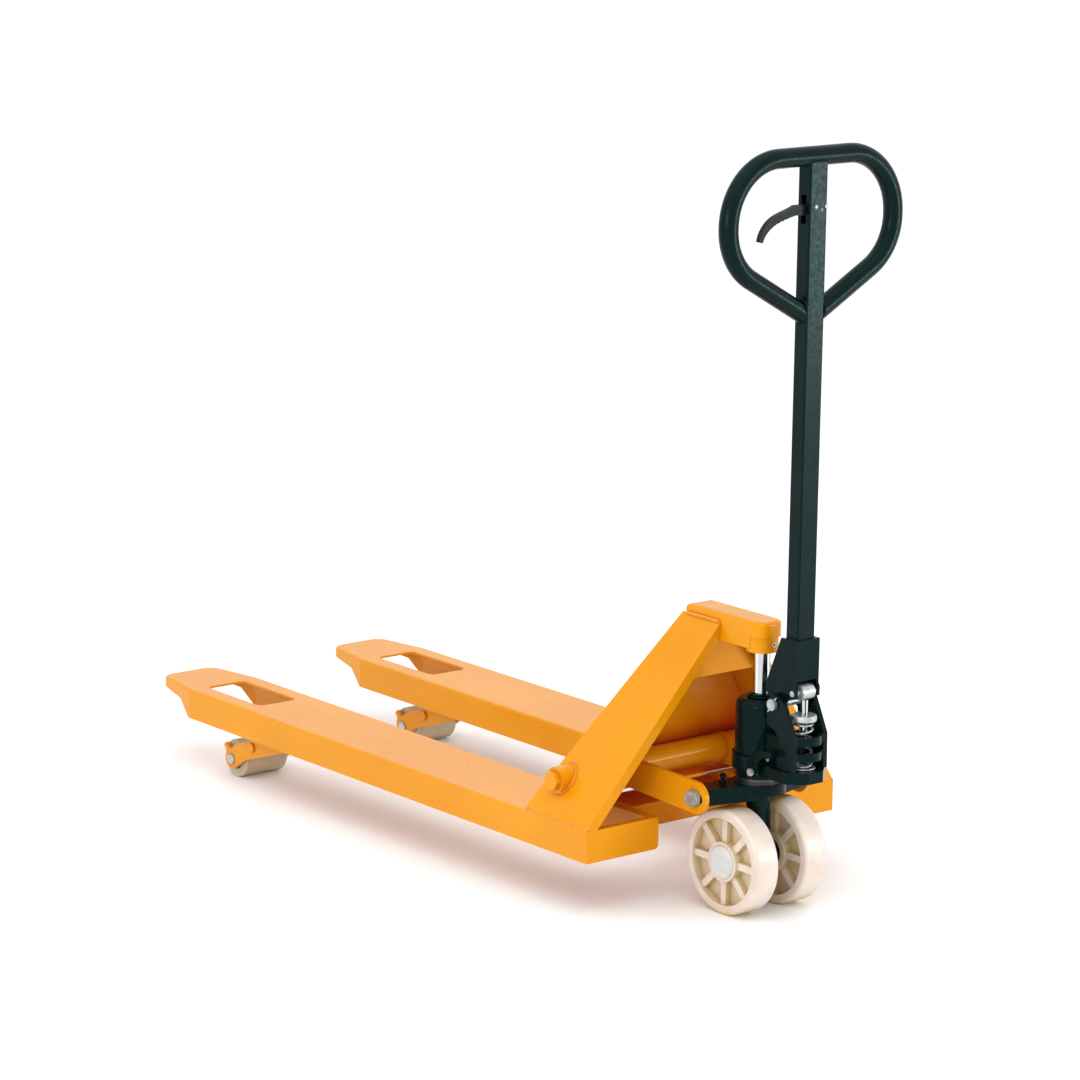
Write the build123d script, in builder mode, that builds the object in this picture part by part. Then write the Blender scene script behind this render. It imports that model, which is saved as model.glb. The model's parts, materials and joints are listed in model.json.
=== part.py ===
"""Hand pallet truck: fork frame, lifting linkage, steered hydraulic pump and draw handle.

Millimetres. +Y points to the fork tips, +X to the operator's right, +Z up.
The origin lies on the floor under the middle of the overall box.
The forks stand part way up their travel and the handle stands upright.
"""
import os
from math import hypot

from build123d import *

os.makedirs("parts", exist_ok=True)

# Overall sizes
OVERALL_WIDTH = 550.0
FORK_WIDTH = 155.0
TIP_REACH = 1397.0       # steering axis to fork tips
TAIL_REACH = 138.0       # steering axis to the rear of the pump foot
HANDLE_HEIGHT = 1281.0   # floor to the top of the hand loop
FORK_TOP = 148.5         # floor to the fork tops at this height of lift
FORK_DEPTH = 55.0
FORK_SHEET = 4.0
WHEEL_R = 90.0
WHEEL_WIDTH = 48.0
ROLLER_R = 35.0
ROLLER_WIDTH = 92.0

# Clearances
RUN = 0.06               # radial, shaft in a plain bearing
SEAT = 0.02              # radial, parts held together in one body
GAP = 0.5                # between neighbours that move

# Frame
STEER_Y = -(TIP_REACH - TAIL_REACH) / 2
HALF = OVERALL_WIDTH / 2
INNER = HALF - FORK_WIDTH
FORK_X = HALF - FORK_WIDTH / 2
FORK_BOTTOM = FORK_TOP - FORK_DEPTH
UNDERSIDE = FORK_TOP - FORK_SHEET
SIDES = ((-1, "left"), (1, "right"))


def ahead(distance):
    """Y of a point this far ahead of the steering axis."""
    return STEER_Y + distance


def rod(y, z, radius, x_from, x_to):
    """Cylinder lying along X."""
    solid = Cylinder(radius, x_to - x_from, mode=Mode.PRIVATE)
    return Pos((x_from + x_to) / 2, y, z) * Rot(0, 90, 0) * solid


def bolt(x, y_from, y_to, z, radius):
    """Cylinder lying along Y."""
    solid = Cylinder(radius, y_to - y_from, mode=Mode.PRIVATE)
    return Pos(x, (y_from + y_to) / 2, z) * Rot(90, 0, 0) * solid


def column(y, z_from, z_to, radius):
    """Upright cylinder on the middle plane."""
    solid = Cylinder(radius, z_to - z_from, mode=Mode.PRIVATE)
    return Pos(0, y, (z_from + z_to) / 2) * solid


def block(x_from, x_to, y_from, y_to, z_from, z_to):
    """Box between two corners."""
    size = (x_to - x_from, y_to - y_from, z_to - z_from)
    centre = ((x_from + x_to) / 2, (y_from + y_to) / 2, (z_from + z_to) / 2)
    return Pos(*centre) * Box(*size, mode=Mode.PRIVATE)


def sheet(points, x_from, x_to):
    """Plate across X with an outline given in Y and Z."""
    outline = Wire.make_polygon([Vector(x_from, y, z) for y, z in points], close=True)
    return Solid.extrude(Face(outline), Vector(x_to - x_from, 0, 0))


def save(part, node):
    part.label = node
    export_step(part, f"parts/{node}.step")


# Forks
FORK_START = 285.0
HEEL_END = 112.6
NOSE_START = TIP_REACH - 120.0
TIP_HALF = FORK_WIDTH / 2 - 20.0
TIP_DEPTH = 16.0
NOSE_STEP = 36.0
OPENING_HALF = 42.0
OPENING_NEAR = NOSE_START - 180.0
OPENING_FAR = NOSE_START - 8.0

# A-frame legs
LEG_SHEET = 6.0
FRONT_SHEET = 5.0
LEG_FLANGE = 18.0
LEG_REAR_FOOT = 114.0
LEG_FRONT_FOOT = 280.0
LEG_REAR_TOP = 72.0
LEG_FRONT_TOP = 168.0
HEAD_HALF = 28.0
LEG_TOP = 478.0
LEG_RUN = HALF - HEAD_HALF
LEG_RISE = LEG_TOP - FORK_TOP
LEG_LENGTH = hypot(LEG_RUN, LEG_RISE)

# Lift head and ram
HEAD_BOTTOM = 446.0
CROWN_BOTTOM = 466.0
HEAD_TOP = 492.5
HEAD_FRONT = 160.0
HEAD_REAR = 28.0
BOSS_R = 27.0
BOSS_BOTTOM = 440.0
RAM_R = 14.0
RAM_BOTTOM = 272.0
RAM_SEAT = 482.0

# Lifting rocker
ROCKER_Y = ahead(226.0)
ROCKER_Z = 208.0
EYE_Y = ahead(25.0)
EYE_Z = 201.0
TUBE_R = 24.0
TUBE_WALL = 5.0
TUBE_HALF = FORK_X + 6.5
TRUNNION_R = 12.0
TRUNNION_IN = HALF - 91.0
TRUNNION_FACE = HALF - 23.0
TRUNNION_OUT = HALF - 13.0
ARM_IN = 110.0
ARM_OUT = 118.0
LEVER_PIN_Z = ROCKER_Z - 44.0
ROD_X = FORK_X - 11.5
EAR_BOLT_R = 8.0
EYE_TRAVEL = 9.5
EYE_PLAY = 1.0

# Roller carriers
CARRIER_Y = ahead(1000.0)
CARRIER_Z = 97.0
ROLLER_Y = ahead(1168.0)
ROLLER_Z = ROLLER_R
ROD_Z = 134.0
CARRIER_PIN_R = 8.0
ROLLER_AXLE_R = 10.0
PLATE_IN = ROLLER_WIDTH / 2 + 3.0
PLATE_OUT = PLATE_IN + 8.0
RAIL_IN = PLATE_OUT + 4.0
RAIL_OUT = RAIL_IN + 5.0

# Steered pump
WING_BOTTOM = 190.0
WING_TOP = 218.0
BEARING_TOP = 228.0
FOOT_BOTTOM = 243.0
FOOT_TOP = 262.0
POST_R = 20.5
POST_BORE_R = 15.0
RESERVOIR_R = 41.5
RESERVOIR_TOP = 361.0
FOOT_HALF = 44.0
CHEEK_IN = 29.5
CHEEK_OUT = 38.0
SPRING_WELL_R = 24.0
WELL_RING_R = 30.5
PLUNGER_Y = ahead(-105.0)
PIVOT_Y = ahead(-73.0)
PIVOT_Z = 368.5
PUMP_ROLLER_Y = PLUNGER_Y
PUMP_ROLLER_Z = 391.0
PUMP_ROLLER_R = 12.5
WHEEL_IN = 30.0
RELEASE_Y = ahead(-44.0)
RELEASE_Z = 251.0
AXLE_R = 10.0

# Handle
TUBE_Y = ahead(-91.0)
TUBE_X_HALF = 19.0
TUBE_Y_HALF = 14.5
HANDLE_WALL = 3.0
BRACKET_IN = 21.5
BRACKET_OUT = 26.5
BRACKET_TOP = 479.0
BRACKET_REAR = -109.5
LOOP_R = 16.0
LOOP_WALL = 2.5
LOOP_TOP = HANDLE_HEIGHT - LOOP_R
LOOP_FOOT = LOOP_TOP - 250.0
LOOP_HALF = 177.0
GRIP_PIVOT_X = 8.0
GRIP_Z = LOOP_TOP - 85.0
PULL_X = -6.0

# ---------------------------------------------------------------- forks
for side, tag in SIDES:
    centre = side * FORK_X

    with BuildPart() as fork:
        with BuildSketch(Plane.XY.offset(FORK_BOTTOM)):
            with BuildLine():
                Polyline(
                    (centre - FORK_WIDTH / 2, ahead(FORK_START)),
                    (centre + FORK_WIDTH / 2, ahead(FORK_START)),
                    (centre + FORK_WIDTH / 2, ahead(NOSE_START)),
                    (centre + TIP_HALF, ahead(TIP_REACH)),
                    (centre - TIP_HALF, ahead(TIP_REACH)),
                    (centre - FORK_WIDTH / 2, ahead(NOSE_START)),
                    close=True,
                )
            make_face()
        extrude(amount=FORK_DEPTH)
        fillet(fork.edges().filter_by(Axis.Z).group_by(Axis.Y)[-1], 28)
        top_edges = fork.faces().sort_by(Axis.Z)[-1].edges()
        fillet(top_edges.filter_by(lambda e: e.center().Y > ahead(FORK_START) + 1), 5)
        with BuildSketch(Plane.XY.offset(FORK_BOTTOM)):
            with BuildLine():
                inner = FORK_WIDTH / 2 - FORK_SHEET
                Polyline(
                    (centre - inner, ahead(FORK_START)),
                    (centre + inner, ahead(FORK_START)),
                    (centre + inner, ahead(NOSE_START) - 1),
                    (centre + TIP_HALF - FORK_SHEET - 4, ahead(TIP_REACH) - 8),
                    (centre - TIP_HALF + FORK_SHEET + 4, ahead(TIP_REACH) - 8),
                    (centre - inner, ahead(NOSE_START) - 1),
                    close=True,
                )
            make_face()
        extrude(amount=FORK_DEPTH - FORK_SHEET, mode=Mode.SUBTRACT)
        under_nose = (
            (ahead(NOSE_START) + 1, FORK_BOTTOM - 1),
            (ahead(NOSE_START) + NOSE_STEP, FORK_TOP - 26),
            (ahead(TIP_REACH) + 1, FORK_TOP - TIP_DEPTH),
            (ahead(TIP_REACH) + 1, FORK_BOTTOM - 1),
        )
        add(sheet(under_nose, centre - FORK_WIDTH, centre + FORK_WIDTH), mode=Mode.SUBTRACT)
        with BuildSketch(Plane.XY.offset(UNDERSIDE - 1)):
            with Locations((centre, ahead((OPENING_NEAR + OPENING_FAR) / 2))):
                RectangleRounded(2 * OPENING_HALF, OPENING_FAR - OPENING_NEAR, 13)
        extrude(amount=FORK_SHEET + 2, mode=Mode.SUBTRACT)
    save(fork.part, f"{tag}_fork")

    # Open pocket behind the fork, under the rocker
    with BuildPart() as heel:
        with BuildSketch(Plane.XY.offset(FORK_BOTTOM)):
            with Locations((centre, ahead((HEEL_END + FORK_START) / 2))):
                Rectangle(FORK_WIDTH, FORK_START - HEEL_END)
        extrude(amount=FORK_DEPTH)
        with BuildSketch(Plane.XY.offset(FORK_BOTTOM)):
            with Locations((centre, ahead((HEEL_END + 6 + FORK_START) / 2))):
                Rectangle(FORK_WIDTH - 2 * FORK_SHEET, FORK_START - HEEL_END - 6)
        extrude(amount=FORK_DEPTH - FORK_SHEET, mode=Mode.SUBTRACT)
        with BuildSketch(Plane.XY.offset(FORK_BOTTOM)):
            with Locations((centre, ahead((HEEL_END + 12 + 262) / 2))):
                RectangleRounded(FORK_WIDTH - 38, 250 - HEEL_END, 6)
        extrude(amount=FORK_DEPTH + 1, mode=Mode.SUBTRACT)
        with BuildSketch(Plane.XZ.offset(-ahead(HEEL_END - 1))):
            with Locations((centre, (FORK_BOTTOM + FORK_TOP) / 2)):
                Rectangle(FORK_WIDTH + 2, FORK_DEPTH + 2)
            with Locations((centre, (FORK_BOTTOM + FORK_TOP) / 2)):
                RectangleRounded(FORK_WIDTH, FORK_DEPTH, 8, mode=Mode.SUBTRACT)
            with Locations((centre + side * FORK_WIDTH / 4, (FORK_BOTTOM + FORK_TOP) / 2)):
                Rectangle(FORK_WIDTH / 2 + 2, FORK_DEPTH + 4, mode=Mode.SUBTRACT)
        extrude(amount=-7, mode=Mode.SUBTRACT)
    save(heel.part, f"{tag}_fork_heel")

    # Slanted leg from the fork's outer edge up to the lift head
    slope = Vector(-side * LEG_RUN, 0, LEG_RISE) / LEG_LENGTH
    leg_plane = Plane(
        origin=(side * HALF, 0, FORK_TOP), x_dir=(0, 1, 0), z_dir=Vector(0, 1, 0).cross(slope)
    )
    with BuildPart() as leg:
        with BuildSketch(leg_plane):
            with BuildLine():
                Polyline(
                    (ahead(LEG_REAR_FOOT), 0),
                    (ahead(LEG_FRONT_FOOT), 0),
                    (ahead(LEG_FRONT_TOP), LEG_LENGTH),
                    (ahead(LEG_REAR_TOP), LEG_LENGTH),
                    close=True,
                )
            make_face()
        extrude(amount=-side * LEG_SHEET)
        with BuildSketch(leg_plane):
            with BuildLine():
                Polyline(
                    (ahead(LEG_REAR_FOOT), 0),
                    (ahead(LEG_REAR_FOOT) + LEG_SHEET, 0),
                    (ahead(LEG_REAR_TOP) + LEG_SHEET, LEG_LENGTH),
                    (ahead(LEG_REAR_TOP), LEG_LENGTH),
                    close=True,
                )
            make_face()
        extrude(amount=-side * LEG_FLANGE)
        add(block(-HEAD_HALF, HEAD_HALF, ahead(0), ahead(300), 400, 520), mode=Mode.SUBTRACT)
        add(block(-HALF, HALF, ahead(0), ahead(300), 100, FORK_TOP), mode=Mode.SUBTRACT)
        ends = (side * (TRUNNION_IN + 6), side * TRUNNION_FACE)
        boss = Part() + rod(ROCKER_Y, ROCKER_Z, 22, min(ends), max(ends))
        outside = Keep.BOTTOM if side < 0 else Keep.TOP
        add(split(boss, bisect_by=leg_plane, keep=outside, mode=Mode.PRIVATE))
        add(rod(ROCKER_Y, ROCKER_Z, TRUNNION_R + SEAT, -HALF, HALF), mode=Mode.SUBTRACT)
    save(leg.part, f"{tag}_leg")


def leg_inside(z):
    """Distance from the middle to the inner face of a leg at height z."""
    return HALF - LEG_SHEET * LEG_LENGTH / LEG_RISE - (z - FORK_TOP) * LEG_RUN / LEG_RISE


# Rails under the forks carry the pins of the roller carriers
with BuildPart() as rails:
    for side in (-1, 1):
        for hand in (-1, 1):
            near = side * FORK_X + hand * RAIL_IN
            far = side * FORK_X + hand * RAIL_OUT
            outline = (
                (CARRIER_Y - 60, UNDERSIDE),
                (CARRIER_Y - 30, CARRIER_Z - 8),
                (CARRIER_Y + 30, CARRIER_Z - 8),
                (CARRIER_Y + 60, UNDERSIDE - 22),
                (ahead(NOSE_START) - 20, UNDERSIDE - 22),
                (ahead(NOSE_START) - 6, UNDERSIDE),
            )
            add(sheet(outline, min(near, far), max(near, far)))
    add(rod(CARRIER_Y, CARRIER_Z, CARRIER_PIN_R + SEAT, -HALF, HALF), mode=Mode.SUBTRACT)
save(rails.part, "fork_rails")

with BuildPart() as carrier_pins:
    for side in (-1, 1):
        centre = side * FORK_X
        add(rod(CARRIER_Y, CARRIER_Z, CARRIER_PIN_R, centre - RAIL_OUT - 2, centre + RAIL_OUT + 2))
save(carrier_pins.part, "carrier_pins")

# Front plate closing the legs
front_slope = Vector(0, LEG_FRONT_TOP - LEG_FRONT_FOOT, LEG_RISE).normalized()
front_plane = Plane(
    origin=(0, ahead(LEG_FRONT_FOOT), FORK_TOP),
    x_dir=(1, 0, 0),
    z_dir=Vector(1, 0, 0).cross(front_slope),
)
front_length = (HEAD_BOTTOM - FORK_TOP) / front_slope.Z
with BuildPart() as front_plate:
    with BuildSketch(front_plane):
        with BuildLine():
            foot_half = leg_inside(FORK_TOP + 3) - 1
            head_half = leg_inside(HEAD_BOTTOM) - 1
            Polyline(
                (-foot_half, 3),
                (foot_half, 3),
                (head_half, front_length - 0.5),
                (-head_half, front_length - 0.5),
                close=True,
            )
        make_face()
    extrude(amount=FRONT_SHEET)
    add(block(-head_half, head_half, ahead(125), ahead(176), HEAD_BOTTOM - 5, HEAD_BOTTOM - SEAT))
save(front_plate.part, "front_plate")

# Web between the legs under the lift head
with BuildPart() as web:
    with BuildSketch(Plane.XZ.offset(-ahead(98))):
        with BuildLine():
            Polyline(
                (-leg_inside(HEAD_BOTTOM) + 0.5, HEAD_BOTTOM - SEAT),
                (leg_inside(HEAD_BOTTOM) - 0.5, HEAD_BOTTOM - SEAT),
                (leg_inside(381) - 0.5, 381),
                (-leg_inside(381) + 0.5, 381),
                close=True,
            )
        make_face()
    extrude(amount=-5)
save(web.part, "head_web")

# Folded plate joining the forks under the rocker
with BuildPart() as crossplate:
    add(block(-INNER, INNER, ahead(184), ahead(189), 108, FORK_TOP))
    add(block(-INNER, INNER, ahead(184), ahead(264), FORK_TOP - 5, FORK_TOP))
    fold = crossplate.edges().filter_by(Axis.X).filter_by(
        lambda e: e.center().Y < ahead(184.1) and e.center().Z > FORK_TOP - 0.1
    )
    fillet(fold, 4)
save(crossplate.part, "rear_crossplate")

# Pins of the rocker with hexagon ends
with BuildPart() as trunnions:
    for side in (-1, 1):
        ends = (side * TRUNNION_IN, side * TRUNNION_OUT)
        add(rod(ROCKER_Y, ROCKER_Z, TRUNNION_R, min(ends), max(ends)))
        with BuildSketch(Plane.YZ.offset(side * (TRUNNION_FACE + 0.1))):
            with Locations((ROCKER_Y, ROCKER_Z)):
                RegularPolygon(17, 6)
        extrude(amount=side * 10)
save(trunnions.part, "trunnion_pins")

# ---------------------------------------------------------------- lift head and ram
with BuildPart() as head:
    with BuildSketch(Plane.XY.offset(CROWN_BOTTOM)):
        with Locations((0, ahead((HEAD_FRONT - HEAD_REAR) / 2))):
            Rectangle(2 * HEAD_HALF, HEAD_FRONT + HEAD_REAR)
    extrude(amount=HEAD_TOP - CROWN_BOTTOM)
    fillet(head.edges().filter_by(Axis.Z).group_by(Axis.Y)[0], 22)
    fillet(head.faces().sort_by(Axis.Z)[-1].edges(), 7)
    add(block(-HEAD_HALF, HEAD_HALF, STEER_Y, ahead(HEAD_FRONT), HEAD_BOTTOM, CROWN_BOTTOM + 1))
    add(column(STEER_Y, BOSS_BOTTOM, CROWN_BOTTOM, BOSS_R))
    with BuildSketch(Plane.XY.offset(BOSS_BOTTOM)):
        with Locations((0, STEER_Y)):
            Circle(RAM_R + SEAT)
    extrude(amount=RAM_SEAT - BOSS_BOTTOM + SEAT, mode=Mode.SUBTRACT)
    add(bolt(0, ahead(-32), ahead(-14.0), 454, 4 + SEAT), mode=Mode.SUBTRACT)
save(head.part, "lift_head")

with BuildPart() as head_screw:
    add(bolt(0, ahead(-29), ahead(-14.6), 454, 4))
    add(bolt(0, ahead(-30), ahead(-22), 454, 2), mode=Mode.SUBTRACT)
save(head_screw.part, "head_screw")

with BuildPart() as ram:
    with BuildSketch(Plane.XY.offset(RAM_BOTTOM)):
        with Locations((0, STEER_Y)):
            Circle(RAM_R)
    extrude(amount=RAM_SEAT - RAM_BOTTOM)
    chamfer(ram.edges().group_by(Axis.Z)[0], 1.5)
    chamfer(ram.edges().group_by(Axis.Z)[-1], 1.5)
save(ram.part, "lift_ram")

# ---------------------------------------------------------------- rocker
with BuildPart() as torsion_tube:
    add(rod(ROCKER_Y, ROCKER_Z, TUBE_R, -TUBE_HALF, TUBE_HALF))
    add(rod(ROCKER_Y, ROCKER_Z, TUBE_R - TUBE_WALL, -TUBE_HALF + 22, TUBE_HALF - 22), mode=Mode.SUBTRACT)
    add(rod(ROCKER_Y, ROCKER_Z, TRUNNION_R + RUN, -HALF, HALF), mode=Mode.SUBTRACT)
save(torsion_tube.part, "torsion_tube")

with BuildPart() as arms:
    for side in (-1, 1):
        with BuildSketch(Plane.YZ.offset(min(side * ARM_IN, side * ARM_OUT))):
            with BuildLine():
                Polyline(
                    (ROCKER_Y, ROCKER_Z + 26),
                    (EYE_Y, EYE_Z + 27),
                    (EYE_Y, EYE_Z - 27),
                    (ROCKER_Y, ROCKER_Z - 26),
                    close=True,
                )
            make_face()
            with Locations((ROCKER_Y, ROCKER_Z)):
                Circle(26)
            with Locations((EYE_Y, EYE_Z)):
                Circle(27)
            with Locations((ROCKER_Y, ROCKER_Z)):
                Circle(TUBE_R + SEAT, mode=Mode.SUBTRACT)
            with Locations((EYE_Y - EYE_TRAVEL / 2 + 0.5, EYE_Z)):
                SlotCenterToCenter(EYE_TRAVEL + 1, 2 * (EAR_BOLT_R + EYE_PLAY), mode=Mode.SUBTRACT)
        extrude(amount=ARM_OUT - ARM_IN)
save(arms.part, "rocker_arms")

with BuildPart() as levers:
    for side in (-1, 1):
        for start in (8, -14):
            with BuildSketch(Plane.YZ.offset(side * ROD_X + start)):
                with BuildLine():
                    Polyline(
                        (ROCKER_Y - 26, ROCKER_Z),
                        (ROCKER_Y + 26, ROCKER_Z),
                        (ROCKER_Y + 12, LEVER_PIN_Z),
                        (ROCKER_Y - 12, LEVER_PIN_Z),
                        close=True,
                    )
                make_face()
                with Locations((ROCKER_Y, ROCKER_Z)):
                    Circle(26)
                with Locations((ROCKER_Y, LEVER_PIN_Z)):
                    Circle(12)
                with Locations((ROCKER_Y, ROCKER_Z)):
                    Circle(TUBE_R + SEAT, mode=Mode.SUBTRACT)
                with Locations((ROCKER_Y, LEVER_PIN_Z)):
                    Circle(6 + SEAT, mode=Mode.SUBTRACT)
            extrude(amount=6)
save(levers.part, "rod_levers")

with BuildPart() as lever_pins:
    for side in (-1, 1):
        add(rod(ROCKER_Y, LEVER_PIN_Z, 6, side * ROD_X - 16, side * ROD_X + 16))
save(lever_pins.part, "lever_pins")

# ---------------------------------------------------------------- push rods and roller carriers
for side, tag in SIDES:
    x_rod = side * ROD_X
    centre = side * FORK_X

    with BuildPart() as push_rod:
        with BuildSketch(Plane.YZ.offset(x_rod - 6)):
            with Locations((ROCKER_Y, LEVER_PIN_Z)):
                Circle(13)
            with Locations(((ROCKER_Y - 12 + CARRIER_Y) / 2, ROD_Z)):
                Rectangle(CARRIER_Y - ROCKER_Y + 12, 14)
            with Locations((ROCKER_Y, (LEVER_PIN_Z + ROD_Z) / 2 - 3)):
                Rectangle(24, LEVER_PIN_Z - ROD_Z + 8)
            with Locations((CARRIER_Y, ROD_Z)):
                Circle(7)
            with Locations((ROCKER_Y, LEVER_PIN_Z)):
                Circle(6 + 2.8, mode=Mode.SUBTRACT)
        extrude(amount=12)
        add(rod(CARRIER_Y, ROD_Z, 4, x_rod - 16, x_rod + 16))
    save(push_rod.part, f"{tag}_push_rod")

    with BuildPart() as carrier:
        for hand in (-1, 1):
            near = centre + hand * PLATE_IN
            far = centre + hand * PLATE_OUT
            with BuildSketch(Plane.YZ.offset(min(near, far))):
                with BuildLine():
                    Polyline(
                        (CARRIER_Y, CARRIER_Z + 14),
                        (CARRIER_Y, CARRIER_Z - 14),
                        (ROLLER_Y - 42, ROLLER_Z + 6),
                        (ROLLER_Y - 12, ROLLER_Z - 14),
                        (ROLLER_Y + 12, ROLLER_Z - 12),
                        (ROLLER_Y + 13, ROLLER_Z + 10),
                        (ROLLER_Y + 23, ROLLER_Z + 23),
                        (ROLLER_Y + 18, ROLLER_Z + 28),
                        (ROLLER_Y + 4, ROLLER_Z + 19),
                        (ROLLER_Y - 24, ROLLER_Z + 36),
                        close=True,
                    )
                make_face()
                with Locations((CARRIER_Y, CARRIER_Z)):
                    Circle(14)
                with Locations((ROLLER_Y, ROLLER_Z)):
                    Circle(18)
                with Locations((ROLLER_Y, ROLLER_Z)):
                    Circle(ROLLER_AXLE_R + SEAT, mode=Mode.SUBTRACT)
            extrude(amount=8)
            ends = (far, far + hand * 4)
            add(rod(ROLLER_Y - 67, ROLLER_Z + 36, 9, min(ends), max(ends)))
        add(rod(CARRIER_Y, CARRIER_Z, 12, centre - PLATE_OUT, centre + PLATE_OUT))
        for start in (7, -13):
            with BuildSketch(Plane.YZ.offset(x_rod + start)):
                with Locations((CARRIER_Y, CARRIER_Z)):
                    Circle(12)
                with Locations((CARRIER_Y, CARRIER_Z + 21)):
                    Rectangle(23, 42)
                with Locations((CARRIER_Y, ROD_Z + 2)):
                    Rectangle(12, 18, mode=Mode.SUBTRACT)
            extrude(amount=6)
        bore = rod(CARRIER_Y, CARRIER_Z, CARRIER_PIN_R + RUN, centre - 80, centre + 80)
        add(bore, mode=Mode.SUBTRACT)
    save(carrier.part, f"{tag}_roller_carrier")

    with BuildPart() as roller_axle:
        add(rod(ROLLER_Y, ROLLER_Z, ROLLER_AXLE_R, centre - PLATE_OUT - 3, centre + PLATE_OUT + 3))
        chamfer(roller_axle.edges(), 1)
    save(roller_axle.part, f"{tag}_roller_axle")

    with BuildPart() as load_roller:
        with BuildSketch(Plane.YZ.offset(centre - ROLLER_WIDTH / 2)):
            with Locations((ROLLER_Y, ROLLER_Z)):
                Circle(ROLLER_R)
                Circle(20, mode=Mode.SUBTRACT)
        extrude(amount=ROLLER_WIDTH)
        outer_rims = load_roller.edges().filter_by(GeomType.CIRCLE).filter_by(lambda e: e.radius > 30)
        fillet(outer_rims, 3)
    save(load_roller.part, f"{tag}_load_roller")

    with BuildPart() as roller_bearings:
        for hand in (-1, 1):
            with BuildSketch(Plane.YZ.offset(centre + hand * (ROLLER_WIDTH / 2 - 8) - 6)):
                with Locations((ROLLER_Y, ROLLER_Z)):
                    Circle(20 - SEAT)
                    Circle(ROLLER_AXLE_R + RUN, mode=Mode.SUBTRACT)
            extrude(amount=12)
    save(roller_bearings.part, f"{tag}_roller_bearings")

# ---------------------------------------------------------------- thrust plate
with BuildPart() as thrust_plate:
    with BuildSketch(Plane.XY.offset(WING_BOTTOM)):
        with BuildLine():
            Polyline(
                (-ARM_IN + 1, ahead(42)),
                (-ARM_IN + 1, ahead(4)),
                (-34, ahead(-16)),
                (34, ahead(-16)),
                (ARM_IN - 1, ahead(4)),
                (ARM_IN - 1, ahead(42)),
                (40, ahead(40)),
                (-40, ahead(40)),
                close=True,
            )
        make_face()
    extrude(amount=WING_TOP - WING_BOTTOM)
    with BuildSketch(Plane.XY.offset(WING_TOP - 16)):
        with Locations((0, STEER_Y)):
            Circle(46)
    extrude(amount=16)
    with BuildSketch(Plane.XY.offset(WING_BOTTOM)):
        with Locations((0, STEER_Y)):
            Circle(POST_R + RUN)
    extrude(amount=WING_TOP - WING_BOTTOM, mode=Mode.SUBTRACT)
    for side in (-1, 1):
        ends = (side * 75.0, side * 112.0)
        add(rod(EYE_Y, EYE_Z, EAR_BOLT_R + SEAT, min(ends), max(ends)), mode=Mode.SUBTRACT)
    with BuildSketch(Plane.XY.offset(WING_TOP - 8)):
        with Locations((-62, ahead(20))):
            Circle(3.5 + SEAT)
    extrude(amount=9, mode=Mode.SUBTRACT)
save(thrust_plate.part, "thrust_plate")

with BuildPart() as ear_bolts:
    for side in (-1, 1):
        ends = (side * 76.0, side * 131.0)
        add(rod(EYE_Y, EYE_Z, EAR_BOLT_R, min(ends), max(ends)))
        with BuildSketch(Plane.YZ.offset(side * (ARM_OUT + 3))):
            with Locations((EYE_Y, EYE_Z)):
                RegularPolygon(13.8, 6)
        extrude(amount=side * 10)
        with BuildSketch(Plane.YZ.offset(side * (ARM_OUT + 0.8))):
            with Locations((EYE_Y, EYE_Z)):
                Circle(15)
        extrude(amount=side * 2.2)
save(ear_bolts.part, "ear_bolts")

with BuildPart() as stop_stud:
    with BuildSketch(Plane.XY.offset(WING_TOP - 8)):
        with Locations((-62, ahead(20))):
            Circle(3.5)
    extrude(amount=26)
    with BuildSketch(Plane.XY.offset(WING_TOP)):
        with Locations((-62, ahead(20))):
            RegularPolygon(6.5, 6)
    extrude(amount=5)
    with BuildSketch(Plane.XY.offset(WING_TOP + 11)):
        with Locations((-62, ahead(20))):
            RegularPolygon(6, 6)
    extrude(amount=5)
save(stop_stud.part, "stop_stud")

with BuildPart() as thrust_bearing:
    with BuildSketch(Plane.XY.offset(WING_TOP)):
        with Locations((0, STEER_Y)):
            Circle(38)
            Circle(POST_R + 0.5, mode=Mode.SUBTRACT)
    extrude(amount=BEARING_TOP - WING_TOP)
    groove_radius = 38 - 1.5
    with BuildSketch(Plane.XY.offset(WING_TOP + 4)):
        with Locations((0, STEER_Y)):
            Circle(40)
            Circle(groove_radius, mode=Mode.SUBTRACT)
    extrude(amount=2, mode=Mode.SUBTRACT)
save(thrust_bearing.part, "thrust_bearing")

# ---------------------------------------------------------------- steering post and wheels
with BuildPart() as post:
    with BuildSketch(Plane.XY.offset(WHEEL_R - 14)):
        with Locations((0, STEER_Y)):
            Circle(POST_R)
    extrude(amount=FOOT_BOTTOM - WHEEL_R + 14)
    add(rod(STEER_Y, WHEEL_R, 16, -26, 26))
    add(rod(STEER_Y, WHEEL_R, AXLE_R + SEAT, -30, 30), mode=Mode.SUBTRACT)
    with BuildSketch(Plane.XY.offset(198)):
        with Locations((0, STEER_Y)):
            Circle(POST_BORE_R)
    extrude(amount=60, mode=Mode.SUBTRACT)
save(post.part, "steering_post")

with BuildPart() as axle:
    add(rod(STEER_Y, WHEEL_R, AXLE_R, -WHEEL_IN - WHEEL_WIDTH + 6, WHEEL_IN + WHEEL_WIDTH - 6))
save(axle.part, "wheel_axle")

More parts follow.
